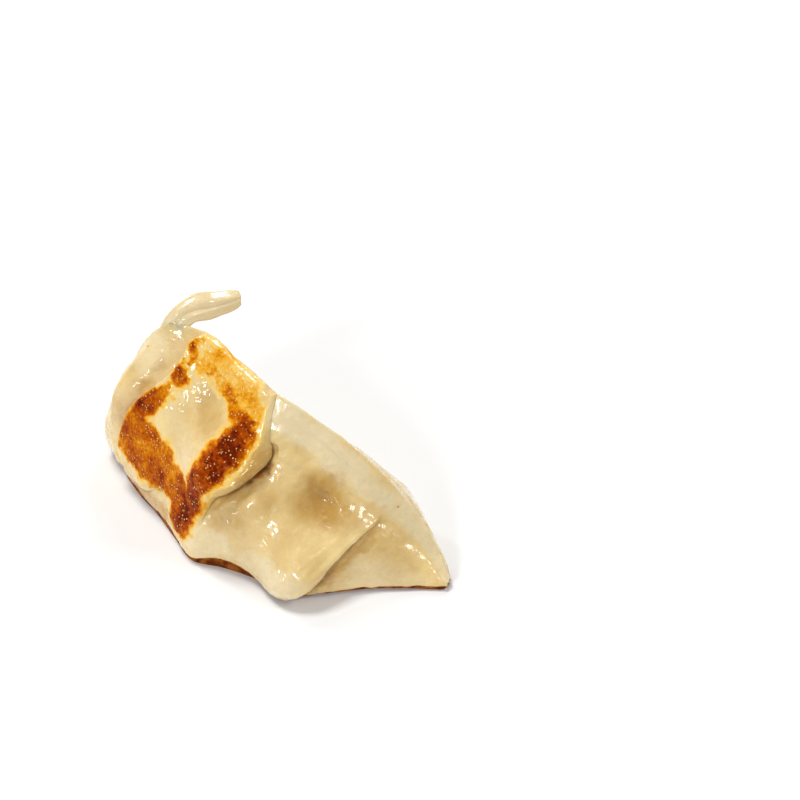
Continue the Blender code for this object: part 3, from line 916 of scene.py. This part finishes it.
@dataclass
class Dumpling:
    """The whole dumpling: the wrapper and its tongue, roughened and coloured."""

    wrapper: Wrapper = field(default_factory=Wrapper)
    tongue: Tongue = field(default_factory=Tongue)
    browning: Browning = field(default_factory=Browning)
    fried_foot: FriedFoot = FriedFoot()
    thin_rim: ThinRim = ThinRim()
    grains: tuple[Grain, ...] = (Grain(7.0, 0.32), Grain(2.6, 0.11), Grain(1.0, 0.085), Grain(0.55, 0.025))
    blisters: tuple[Grain, ...] = (Grain(1.3, 0.13), Grain(0.6, 0.10))
    blister_dip: float = 0.2
    blistered_from: float = 0.5
    bubble_share: float = 0.6
    tongue_quiet: float = 0.75
    foot_quiet: float = 0.85
    foot_quiet_height: float = 1.2
    pleat_blur: float = 0.006
    lip_reach: float = 0.010
    lip_least: float = 0.8
    lip_run: float = 1.2
    lip_pale: float = 0.85
    lip_tan: float = 0.6

    def build(self) -> bpy.types.Object:
        """Make the dumpling's mesh.

        Returns:
            The object, with what its finish needs stored at each point.
        """
        skin = self.wrapper.skin().joined(self.tongue.skin())
        mesh = bpy.data.meshes.new("dumpling surface")
        mesh.from_pydata((skin.points * MM).tolist(), [], skin.faces)
        mesh.shade_smooth()
        looks = self.looks(skin)
        mesh.vertices.foreach_set("co", self.roughened(mesh, skin, looks).ravel() * MM)
        for look, values in looks.items():
            stored = mesh.attributes.new(look.value, "FLOAT", "POINT")
            stored.data.foreach_set("value", values.astype(np.float32))
        mesh.update()
        dumpling = bpy.data.objects.new("gyoza_dumpling", mesh)
        bpy.context.scene.collection.objects.link(dumpling)
        return dumpling

    def looks(self, skin: Skin) -> dict[Look, np.ndarray]:
        """Work out what the finish needs.

        Args:
            skin: The surface.

        Returns:
            The values of each look, for each point.
        """
        toast = self.browning.cover(self.browning.toast, skin)
        toast *= 1.0 - self.browning.cover(self.browning.spared, skin)
        crisp = self.crisp_share(skin)
        lip = self.on_lip(skin)
        # Painted shade in the pocket and the crease, off the crisp panel.
        shade_and_stains = (1.0 - crisp) * self.browning.cover(self.browning.shade_and_stains, skin)
        return {
            Look.TOAST: np.maximum(toast * crisp * (1.0 - self.lip_pale * lip), 0.0),
            # The fried foot, with painted shade in the pocket and the crease; then the filling's tan, with
            # painted shade in hollows and creases.
            Look.BASE: np.maximum(self.fried_foot.at(skin), shade_and_stains),
            Look.FILLING: np.maximum(self.browning.cover(self.browning.filling, skin), self.lip_tan * lip),
            Look.PALE: self.browning.cover(self.browning.pale, skin),
            Look.THIN: self.thin_rim.at(skin, self.wrapper),
            Look.BUBBLED: np.maximum(self.browning.cover(self.browning.bubbled, skin), lip),
        }

    def crisp_share(self, skin: Skin) -> np.ndarray:
        """Find the crisp panel.

        Args:
            skin: The surface.

        Returns:
            1 on the panel, falling quickly to 0 past its two pleats, for each point.
        """
        ends = self.browning
        left = self.wrapper.pleats[0].edge.value(skin.heights) + ends.left_gap
        margin = ends.top_margin * ease((skin.heights - ends.top_start) / ends.top_run)
        right = self.wrapper.pleats[1].edge.value(skin.heights) + ends.right_gap - margin
        return (ease((skin.places - left) / ends.left_blur + 0.5)
                * ease((right - skin.places) / (ends.right_blur + margin) + 0.5))

    def on_lip(self, skin: Skin) -> np.ndarray:
        """Find the thick rounded lip of the crisp panel's right side.

        Args:
            skin: The surface.

        Returns:
            1 on the lip, 0 away from it, for each point.
        """
        pleat = self.wrapper.pleats[1]
        near = bell((skin.places - pleat.edge.value(skin.heights)) / self.lip_reach)
        thick = ease((pleat.lip.value(skin.heights) - self.lip_least) / self.lip_run)
        return np.where(skin.sides == Side.FRONT.value, near * thick, 0.0)

    def roughened(self, mesh: bpy.types.Mesh, skin: Skin, looks: dict[Look, np.ndarray]) -> np.ndarray:
        """The points, moved in and out by the unevenness of the dough and of the crust.

        Args:
            mesh: The mesh of the smooth surface.
            skin: That surface.
            looks: What looks() gave for it.

        Returns:
            The moved points, in millimetres.
        """
        front = np.flatnonzero(skin.sides == Side.FRONT.value)
        points, places, heights = skin.points[front], skin.places[front], skin.heights[front]
        relief = sum(stroke.at(points, skin.where(stroke)) for stroke in self.wrapper.relief)
        past = ease((places - self.wrapper.pleats[1].edge.value(heights)) / self.pleat_blur)
        relief = relief + past * self.wrapper.pocket.at(points, skin.where(self.wrapper.pocket))
        shaped = skin.points.copy()
        shaped[front] += self.wrapper.out(places, -1) * relief[:, None]
        normals = np.zeros(len(skin.points) * 3, dtype=np.float32)
        mesh.vertex_normals.foreach_get("vector", normals)
        lift = sum(grain.at(skin.points) for grain in self.grains)
        loud = 1.0 - self.tongue_quiet * (skin.sides == Side.TONGUE.value)
        low = 1.0 - self.foot_quiet * (1.0 - ease(skin.points[:, 2] / self.foot_quiet_height))
        crust = ease(looks[Look.TOAST] / self.blistered_from)
        crust = np.maximum(crust, self.bubble_share * looks[Look.BUBBLED])
        blister = sum(np.maximum(grain.at(skin.points), -self.blister_dip * grain.depth)
                      for grain in self.blisters)
        lift = (lift * loud + blister * crust) * low
        lift = np.where(skin.sides == Side.FOOT.value, 0.0, lift)
        return shaped + normals.reshape(-1, 3) * lift[:, None]


class Value:
    """A number in a material, that works with the usual operators."""

    def __init__(self, kit: "NodeKit", socket: bpy.types.NodeSocket) -> None:
        self.kit = kit
        self.socket = socket

    def maths(self, operation: str, *others: "Value | float", flip: bool = False,
              clamp: bool = False) -> "Value":
        """One Math node on this value.

        Args:
            operation: The node's operation.
            others: What it works with.
            flip: Whether this value comes last.
            clamp: Whether the result stays from 0 to 1.

        Returns:
            The result.
        """
        terms = (*others, self) if flip else (self, *others)
        inputs = dict(enumerate(terms))
        return self.kit.value("ShaderNodeMath", {"operation": operation, "use_clamp": clamp}, inputs)

    def __add__(self, other: "Value | float") -> "Value":
        """Sum."""
        return self.maths("ADD", other)

    def __sub__(self, other: "Value | float") -> "Value":
        """Difference."""
        return self.maths("SUBTRACT", other)

    def __rsub__(self, other: float) -> "Value":
        """Difference, from a plain number."""
        return self.maths("SUBTRACT", other, flip=True)

    def __mul__(self, other: "Value | float") -> "Value":
        """Product."""
        return self.maths("MULTIPLY", other)

    __radd__ = __add__
    __rmul__ = __mul__

    def centred(self) -> "Value":
        """This noise, less its mean of a half."""
        return self - 0.5

    def clamped(self) -> "Value":
        """This value, kept from 0 to 1."""
        return self.maths("ADD", 0.0, clamp=True)

    def larger(self, other: "Value | float") -> "Value":
        """The larger of the two."""
        return self.maths("MAXIMUM", other)

    def step(self, low: float, high: float) -> "Value":
        """A smooth step from 0 at low to 1 at high."""
        return self.kit.value("ShaderNodeMapRange", {"interpolation_type": "SMOOTHSTEP"},
                              {"Value": self, "From Min": low, "From Max": high})


Feed = Value | bpy.types.NodeSocket | float | Colour


class NodeKit:
    """Builds one material's nodes."""

    def __init__(self, name: str) -> None:
        """Start an empty material.

        Args:
            name: The material's name.
        """
        self.material = bpy.data.materials.new(name)
        self.material.use_nodes = True
        self.tree = self.material.node_tree
        self.tree.nodes.clear()

    def node(self, kind: str, settings: dict[str, object] | None = None,
             inputs: dict[str | int, Feed] | None = None) -> bpy.types.Node:
        """Add a node.

        Args:
            kind: The node's type.
            settings: Its own settings, set first.
            inputs: A value, a colour or a link for each named input.

        Returns:
            The node.
        """
        made = self.tree.nodes.new(kind)
        for name, setting in (settings or {}).items():
            setattr(made, name, setting)
        for name, feed in (inputs or {}).items():
            socket = made.inputs[name]
            if isinstance(feed, Value):
                self.tree.links.new(feed.socket, socket)
            elif isinstance(feed, bpy.types.NodeSocket):
                self.tree.links.new(feed, socket)
            elif socket.type == "RGBA":
                socket.default_value = (*feed, 1.0)
            else:
                socket.default_value = feed
        return made

    def value(self, kind: str, settings: dict[str, object] | None = None,
              inputs: dict[str | int, Feed] | None = None) -> Value:
        """Add a node, and take its first output as a number."""
        return Value(self, self.node(kind, settings, inputs).outputs[0])

    def stored(self, name: str) -> Value:
        """What the mesh stores under that name at each point."""
        return Value(self, self.node("ShaderNodeAttribute", {"attribute_name": name}).outputs["Fac"])

    def noise(self, spacing: float, detail: float = 2.0, roughness: float = 0.5) -> Value:
        """Soft noise in the material's own space, from about 0.2 to 0.8.

        Args:
            spacing: The size of its patches, in millimetres.
            detail: How many finer layers it has.
            roughness: How strong those are.

        Returns:
            The noise.
        """
        place = self.node("ShaderNodeTexCoord").outputs["Object"]
        return self.value("ShaderNodeTexNoise", {}, {
            "Vector": place, "Scale": 1.0 / (spacing * MM), "Detail": detail, "Roughness": roughness,
        })

    def dots(self, spacing: float, radius: float, share: float) -> Value:
        """Scattered round dots, 1 inside and 0 outside.

        Args:
            spacing: Their mean distance, in millimetres.
            radius: Their radius, as a share of the spacing.
            share: The share of the places that have none.

        Returns:
            The dots.
        """
        place = self.node("ShaderNodeTexCoord").outputs["Object"]
        cells = self.node("ShaderNodeTexVoronoi", {}, {"Vector": place, "Scale": 1.0 / (spacing * MM)})
        parts = self.node("ShaderNodeSeparateColor", {}, {"Color": cells.outputs["Color"]})
        kept = Value(self, parts.outputs["Red"]).step(share, share + DOT_CUT)
        return (1.0 - Value(self, cells.outputs["Distance"]).step(DOT_CORE * radius, radius)) * kept

    def mix(self, share: Value | float, first: Feed, second: Feed) -> bpy.types.NodeSocket:
        """A colour between two.

        Args:
            share: How much of the second one there is.
            first: One colour.
            second: The other colour.

        Returns:
            The mixed colour.
        """
        made = self.node("ShaderNodeMix", {"data_type": "RGBA"})
        for socket, feed in ((made.inputs[0], share), (made.inputs[6], first), (made.inputs[7], second)):
            if isinstance(feed, (Value, bpy.types.NodeSocket)):
                self.tree.links.new(feed.socket if isinstance(feed, Value) else feed, socket)
            else:
                socket.default_value = (*feed, 1.0) if isinstance(feed, tuple) else feed
        return made.outputs[2]

    def bump(self, height: Value, depth: float) -> bpy.types.NodeSocket:
        """A bumped normal, from a height of 0 to 1 that stands for that many millimetres."""
        return self.node("ShaderNodeBump", {}, {"Height": height, "Distance": depth * MM}).outputs[0]

    def finish(self, shader: bpy.types.NodeSocket) -> bpy.types.Material:
        """Give the material that surface."""
        self.node("ShaderNodeOutputMaterial", {}, {"Surface": shader})
        return self.material


@dataclass(frozen=True)
class DoughFinish:
    """Fried dough: pale, slightly see-through and oily, with a crust where it is browned."""

    plain: Colour = tint(236, 210, 148)
    white: Colour = tint(234, 218, 180)
    tan: Colour = tint(188, 144, 66)
    thin: Colour = tint(222, 209, 174)
    toasted: tuple[tuple[float, Colour], ...] = (
        (0.12, tint(236, 200, 108)), (0.28, tint(234, 170, 40)), (0.42, tint(214, 132, 4)),
        (0.58, tint(186, 92, 0)), (0.74, tint(152, 58, 0)), (0.92, tint(100, 24, 0)),
    )
    # Browns of the fried foot, also used for painted shade in the pocket and the crease.
    fried_and_shade_browns: tuple[Colour, Colour] = (tint(104, 40, 6), tint(164, 98, 34))
    speck: Colour = tint(196, 128, 50)
    # Pale blister dots: partly the blisters' own colour, partly painted glints.
    blister: Colour = tint(252, 212, 128)

    # Noise: the size of its patches in millimetres, its finer layers and their strength.
    fine: tuple[float, ...] = (0.5, 3.0, 0.6)
    medium: tuple[float, ...] = (1.6, 3.0, 0.6)
    patchy: tuple[float, ...] = (3.4,)
    broad: tuple[float, ...] = (6.0,)
    oily: tuple[float, ...] = (2.2,)
    crackled: tuple[float, ...] = (0.45, 3.0, 0.65)

    # Dots: their spacing, their radius and the share of places without one.
    specks: tuple[float, float, float] = (2.8, 0.09, 0.6)
    blisters: tuple[float, float, float] = (0.5, 0.34, 0.35)

    # How much of each colour goes in, and how much the noise moves it.
    mottle: tuple[float, float, float] = (0.6, 0.6, 0.7)
    broad_tan: float = 0.35
    filling_tan: float = 0.8
    whitened: float = 0.8
    thinned: float = 0.6
    specked: float = 0.7
    blister_and_glint_share: float = 0.8
    bubbled: float = 0.6
    ragged: float = 0.5

    # Steps: where each starts and where it is full.
    mottle_step: Step = (0.02, 0.35)
    broad_step: Step = (0.3, 0.7)
    cluster_step: Step = (0.4, 0.56)
    blister_step: Step = (0.3, 0.6)
    fried_mix_step: Step = (0.35, 0.62)
    fried_and_shade_step: Step = (0.2, 0.5)
    oil_step: Step = (0.38, 0.54)
    crust_step: Step = (0.12, 0.42)
    crust_of_bubbles: float = 0.28

    # How both surfaces shine, and how rough they are. Depths are in millimetres.
    dough_ior: float = 1.4
    crust_ior: float = 1.45
    dough_roughness: float = 0.26
    crust_roughness: float = 0.42
    uneven_roughness: float = 0.3
    see_through: float = 0.35
    see_through_tint: Colour = (1.0, 0.62, 0.32)
    see_through_depth: float = 1.3
    least_oil: float = 0.15
    oil_roughness: float = 0.08
    dough_bump: float = 0.11
    fine_bump: float = 0.6
    crust_shine: float = 0.03
    blister_oil: float = 0.3
    crust_oil: float = 0.02
    crust_oil_roughness: float = 0.1
    crust_bump: float = 0.16
    blister_bump: float = 0.8

    def material(self) -> bpy.types.Material:
        """Make the finish.

        Returns:
            The material.
        """
        kit = NodeKit("fried dough")
        toast, base, filling, pale, thin, bubbled = (kit.stored(look.value) for look in Look)
        fine, medium = kit.noise(*self.fine), kit.noise(*self.medium)
        noises = zip(self.mottle, (fine, medium, kit.noise(*self.patchy)))
        first, second, third = (noise.centred() * share for share, noise in noises)
        browned = (toast + (first + second + third) * toast.step(*self.mottle_step)).clamped()
        # The fried foot's brown, which also paints shade in the pocket and the crease.
        seated_and_shaded = (base + medium.centred() * self.ragged * base).clamped()
        blister_and_glint_share = browned.larger(bubbled * self.bubbled).step(*self.blister_step)
        blisters = kit.dots(*self.blisters) * medium.step(*self.cluster_step) * blister_and_glint_share
        colour = self.toasted_colour(kit, browned, self.dough_colour(kit, filling, pale, thin))
        # Pale blister dots, which partly paint glints on the crust.
        colour = kit.mix(blisters * self.blister_and_glint_share, colour, self.blister)
        fried_and_shade_browns = kit.mix(medium.step(*self.fried_mix_step), *self.fried_and_shade_browns)
        colour = kit.mix(seated_and_shaded.step(*self.fried_and_shade_step), colour, fried_and_shade_browns)
        crusted = browned.larger(seated_and_shaded).larger(bubbled * self.crust_of_bubbles).step(*self.crust_step)
        both = kit.node("ShaderNodeMixShader", {}, {
            0: crusted, 1: self.dough(kit, colour, fine, medium), 2: self.crust(kit, colour, fine, blisters),
        })
        return kit.finish(both.outputs[0])

    def dough_colour(self, kit: NodeKit, filling: Value, pale: Value, thin: Value) -> bpy.types.NodeSocket:
        """The colour of the dough where it isn't browned.

        Args:
            kit: The material's nodes.
            filling: Where the filling shows through, and where shade is painted in hollows and creases.
            pale: Where the dough is whitest.
            thin: Where it is thin.

        Returns:
            The colour.
        """
        broad = kit.noise(*self.broad).step(*self.broad_step)
        # Tan from random patches, from the filling, and painted shade in hollows and creases.
        tanned = (broad * self.broad_tan + filling * self.filling_tan).clamped()
        colour = kit.mix(tanned, self.plain, self.tan)
        colour = kit.mix(pale * self.whitened, colour, self.white)
        colour = kit.mix(thin * self.thinned, colour, self.thin)
        return kit.mix(kit.dots(*self.specks) * self.specked, colour, self.speck)

    def toasted_colour(self, kit: NodeKit, browned: Value,
                       colour: bpy.types.NodeSocket) -> bpy.types.NodeSocket:
        """Brown a colour through gold and amber to dark brown.

        Args:
            kit: The material's nodes.
            browned: How far it is browned.
            colour: The colour of the plain dough.

        Returns:
            The browned colour.
        """
        last = 0.0
        for level, shade in self.toasted:
            colour = kit.mix(browned.step(last, level), colour, shade)
            last = level
        return colour

    def dough(self, kit: NodeKit, colour: bpy.types.NodeSocket, fine: Value,
              medium: Value) -> bpy.types.NodeSocket:
        """The soft, slightly see-through surface of the dough, under patches of oil.

        Args:
            kit: The material's nodes.
            colour: Its colour.
            fine: Fine noise.
            medium: Medium noise.

        Returns:
            The shader.
        """
        oil = kit.noise(*self.oily).step(*self.oil_step)
        return kit.node("ShaderNodeBsdfPrincipled", {}, {
            "Base Color": colour,
            "Roughness": self.dough_roughness + self.uneven_roughness * medium.centred(),
            "IOR": self.dough_ior,
            "Subsurface Weight": self.see_through, "Subsurface Radius": self.see_through_tint,
            "Subsurface Scale": self.see_through_depth * MM,
            "Coat Weight": oil * (1.0 - self.least_oil) + self.least_oil,
            "Coat Roughness": self.oil_roughness,
            "Normal": kit.bump(medium + self.fine_bump * fine, self.dough_bump),
        }).outputs[0]

    def crust(self, kit: NodeKit, colour: bpy.types.NodeSocket, fine: Value,
              blisters: Value) -> bpy.types.NodeSocket:
        """The dry crust, with its blisters, whose pale dots partly paint glints.

        Args:
            kit: The material's nodes.
            colour: Its colour.
            fine: Fine noise.
            blisters: Where its blisters are.

        Returns:
            The shader.
        """
        return kit.node("ShaderNodeBsdfPrincipled", {}, {
            "Base Color": colour,
            "Roughness": self.crust_roughness + self.uneven_roughness * fine.centred(),
            "IOR": self.crust_ior, "Specular IOR Level": self.crust_shine,
            "Coat Weight": blisters * self.blister_oil + self.crust_oil,
            "Coat Roughness": self.crust_oil_roughness,
            "Normal": kit.bump(kit.noise(*self.crackled) + self.blister_bump * blisters, self.crust_bump),
        }).outputs[0]


@dataclass(frozen=True)
class FloorFinish:
    """A plain pale matt floor."""

    shade: Colour = (0.86, 0.86, 0.86)
    cloud_spacing: float = 40.0
    cloud_depth: float = 0.03
    cloud_shade: float = 0.97
    roughness: float = 0.75
    shine: float = 0.2

    def material(self) -> bpy.types.Material:
        """Make the finish.

        Returns:
            The material.
        """
        kit = NodeKit("pale floor")
        clouds = kit.noise(self.cloud_spacing) * self.cloud_depth
        colour = kit.mix(clouds, self.shade, tuple(self.cloud_shade * part for part in self.shade))
        floor = kit.node("ShaderNodeBsdfPrincipled", {}, {
            "Base Color": colour, "Roughness": self.roughness, "Specular IOR Level": self.shine,
        })
        return kit.finish(floor.outputs[0])


@dataclass(frozen=True)
class Lamp:
    """A soft rectangular lamp that points at the dumpling, in metres and watts."""

    name: str
    place: tuple[float, float, float]
    size: tuple[float, float]
    power: float
    aim: tuple[float, float, float] = (0.0, 0.0, 0.012)

    def build(self) -> bpy.types.Object:
        """Hang the lamp.

        Returns:
            The lamp.
        """
        light = bpy.data.lights.new(self.name, "AREA")
        light.shape = "RECTANGLE"
        light.size, light.size_y = self.size
        light.energy = self.power
        lamp = bpy.data.objects.new(self.name, light)
        lamp.location = self.place
        aim = Vector(self.aim) - Vector(self.place)
        lamp.rotation_euler = aim.to_track_quat("-Z", "Y").to_euler()
        bpy.context.scene.collection.objects.link(lamp)
        return lamp


@dataclass
class Studio:
    """The floor, the light and the camera."""

    floor_size: float = 3.0
    lamps: tuple[Lamp, ...] = (
        Lamp("overhead", (-0.50, 0.20, 1.70), (0.56, 0.42), 17.0),
        Lamp("left_window", (-1.70, 0.24, 0.80), (0.26, 0.40), 7.0),
        Lamp("front_window", (0.04, -1.76, 1.20), (0.34, 0.50), 14.0),
        Lamp("right_window", (1.20, 0.60, 1.30), (0.30, 0.44), 5.0),
        Lamp("low_left_window", (-1.05, -1.70, 0.22), (0.14, 0.24), 2.4),
        Lamp("back_window", (-0.40, 1.50, 1.40), (0.36, 0.36), 5.0),
    )
    sky: float = 0.32
    camera_place: tuple[float, float, float] = (0.13191, -0.17153, 0.20569)
    camera_back: tuple[float, float, float] = (0.4059, -0.6496, 0.6428)
    lens: float = 85.0
    nearest: float = 0.01

    def build(self) -> bpy.types.Object:
        """Set the studio up.

        Returns:
            The floor.
        """
        scene = bpy.context.scene
        half = self.floor_size / 2
        mesh = bpy.data.meshes.new("floor")
        mesh.from_pydata([(-half, -half, 0.0), (half, -half, 0.0), (half, half, 0.0), (-half, half, 0.0)], [],
                         [(0, 1, 2, 3)])
        floor = bpy.data.objects.new("floor", mesh)
        scene.collection.objects.link(floor)
        floor.data.materials.append(FloorFinish().material())
        for lamp in self.lamps:
            lamp.build()
        world = bpy.data.worlds.new("studio")
        world.use_nodes = True
        background = world.node_tree.nodes["Background"]
        background.inputs["Color"].default_value = (1.0, 1.0, 1.0, 1.0)
        background.inputs["Strength"].default_value = self.sky
        scene.world = world
        scene.view_settings.view_transform = "Standard"
        self.add_camera(scene)
        return floor

    def add_camera(self, scene: bpy.types.Scene) -> None:
        """Stand the camera in its place.

        Args:
            scene: The scene that it looks at.
        """
        camera = bpy.data.objects.new("camera", bpy.data.cameras.new("camera"))
        camera.data.lens = self.lens
        camera.data.clip_start = self.nearest
        camera.location = self.camera_place
        camera.rotation_euler = Vector(self.camera_back).to_track_quat("Z", "Y").to_euler()
        scene.collection.objects.link(camera)
        scene.camera = camera


def main() -> None:
    """Build the dumpling and the studio around it."""
    logging.basicConfig(level=logging.INFO, format="%(message)s")
    piece = Dumpling().build()
    piece.data.materials.append(DoughFinish().material())
    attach(piece, BODY)
    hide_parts(NODE)
    LOG.info("%s: %d points", piece.name, len(piece.data.vertices))
    floor = Studio().build()
    LOG.info("studio: ready")


if __name__ == "__main__":
    main()
